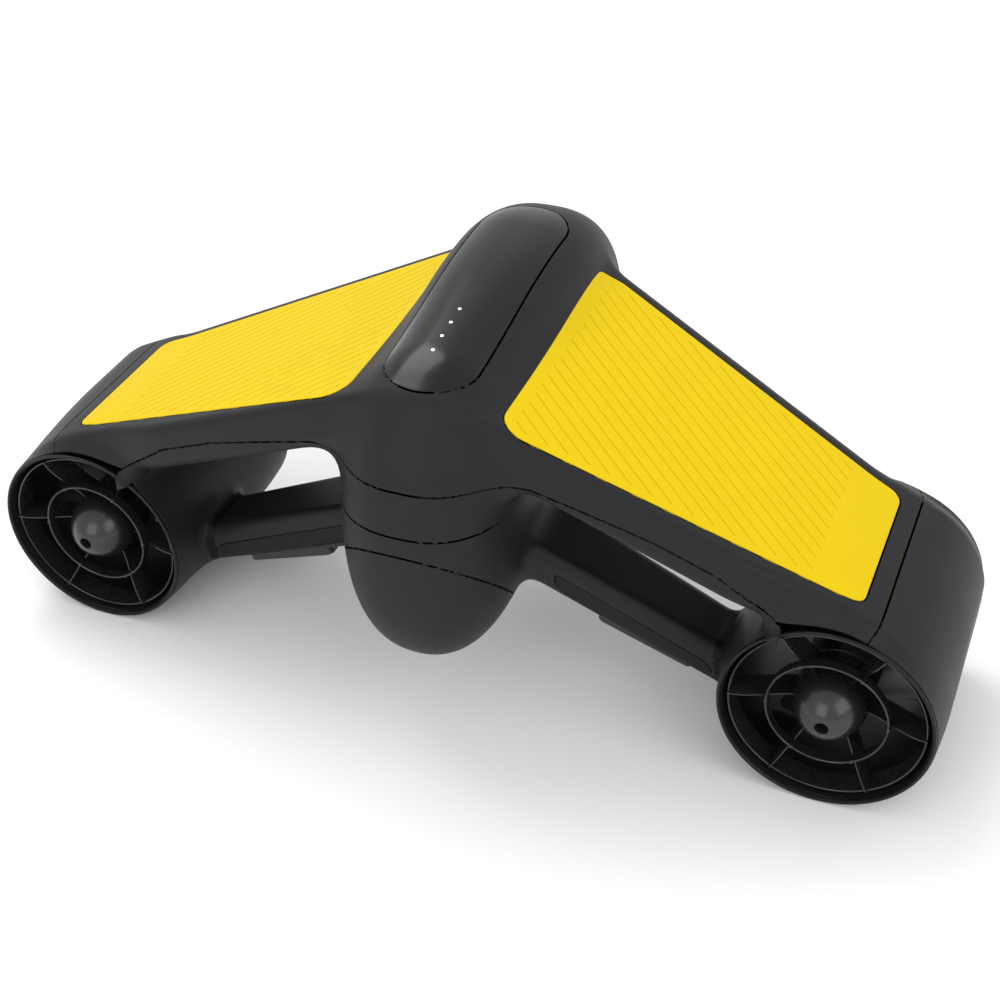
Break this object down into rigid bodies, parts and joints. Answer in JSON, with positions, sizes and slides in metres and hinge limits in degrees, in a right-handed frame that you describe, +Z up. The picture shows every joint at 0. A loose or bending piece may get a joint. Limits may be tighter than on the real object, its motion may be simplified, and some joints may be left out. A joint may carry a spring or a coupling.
{
  "type": "underwater scooter",
  "caption": "Twin-thruster underwater scooter with a ridged wing, ducted propellers at its tips and a trigger grip under each side.",
  "frame": {"origin": "on the floor under the middle of the whole object's box", "axes": "+Z up, +Y the way it swims (nose), +X to its right seen from behind; x = 0 is its plane of symmetry"},
  "size_m": [0.529, 0.2752, 0.2243],
  "materials": {
    "shell_plastic": "fine spark-eroded grain",
    "grip_rubber": "matt soft-touch",
    "seal_rubber": "matt",
    "pad_yellow": "soft rubbery sheet with engraved diagonal grooves",
    "panel_gloss": "polished",
    "duct_plastic": "fine satin",
    "propeller_plastic": "satin gloss",
    "motor_steel": "bare steel",
    "coil_copper": "varnished copper",
    "magnet_steel": "nickel plated",
    "shaft_steel": "ground",
    "bearing_plastic": "plain bearing polymer",
    "trigger_plastic": "satin",
    "circuit_board": "solder mask",
    "cell_wrap": "shrink sleeve",
    "holder_plastic": "moulded",
    "lamp_white": "clear, lit from below",
    "screw_steel": "stainless",
    "brass_thread": "machined"
  },
  "bodies": {
    "hull": {"battery_board": "circuit_board", "battery_cells": "cell_wrap", "battery_holders": "holder_plastic", "camera_thread_insert": "brass_thread", "charge_contacts": "brass_thread", "charge_socket": "seal_rubber", "chin_cap": "shell_plastic", "chin_cap_screws": "screw_steel", "chin_cap_seal": "seal_rubber", "chin_shell": "shell_plastic", "control_board": "circuit_board", "cover_screws": "screw_steel", "deck_pad_left": "pad_yellow", "deck_pad_right": "pad_yellow", "display_board": "circuit_board", "display_window": "panel_gloss", "duct_liner_left": "duct_plastic", "duct_liner_right": "duct_plastic", "grip_strip_left": "grip_rubber", "grip_strip_right": "grip_rubber", "handle_left": "shell_plastic", "handle_right": "shell_plastic", "intake_grille_left": "duct_plastic", "intake_grille_right": "duct_plastic", "light_pipes": "lamp_white", "main_hull": "shell_plastic", "motor_coils_left": "coil_copper", "motor_coils_right": "coil_copper", "motor_controllers": "circuit_board", "motor_core_left": "motor_steel", "motor_core_right": "motor_steel", "nacelle_left": "shell_plastic", "nacelle_right": "shell_plastic", "nacelle_screws": "screw_steel", "shaft_bearings_left": "bearing_plastic", "shaft_bearings_right": "bearing_plastic", "stator_guard_left": "duct_plastic", "stator_guard_right": "duct_plastic", "top_cover": "shell_plastic", "trigger_board_left": "circuit_board", "trigger_board_right": "circuit_board", "trigger_pin_left": "shaft_steel", "trigger_pin_right": "shaft_steel", "trigger_spring_left": "shaft_steel", "trigger_spring_right": "shaft_steel"},
    "propeller_left": {"propeller_left": "propeller_plastic", "rotor_can_left": "motor_steel", "rotor_magnets_left": "magnet_steel", "prop_shaft_left": "shaft_steel"},
    "trigger_left": {"trigger_left": "trigger_plastic", "trigger_magnet_left": "magnet_steel"},
    "propeller_right": {"propeller_right": "propeller_plastic", "rotor_can_right": "motor_steel", "rotor_magnets_right": "magnet_steel", "prop_shaft_right": "shaft_steel"},
    "trigger_right": {"trigger_right": "trigger_plastic", "trigger_magnet_right": "magnet_steel"}
  },
  "joints": [
    {"name": "propeller_spin_left", "type": "hinge", "parent": "hull", "child": "propeller_left", "pos_m": [-0.208, -0.0515, 0.055], "axis": [0, 1, 0], "continuous": true},
    {"name": "trigger_pull_left", "type": "hinge", "parent": "hull", "child": "trigger_left", "pos_m": [-0.08563, -0.053, 0.05835], "axis": [0, 1, 0], "range_deg": [0, 7], "stiffness_Nm_per_rad": 0.6, "springref_deg": -6.88},
    {"name": "propeller_spin_right", "type": "hinge", "parent": "hull", "child": "propeller_right", "pos_m": [0.208, -0.0515, 0.055], "axis": [0, 1, 0], "continuous": true},
    {"name": "trigger_pull_right", "type": "hinge", "parent": "hull", "child": "trigger_right", "pos_m": [0.08563, -0.053, 0.05835], "axis": [0, -1, 0], "range_deg": [0, 7], "stiffness_Nm_per_rad": 0.6, "springref_deg": -6.88}
  ]
}
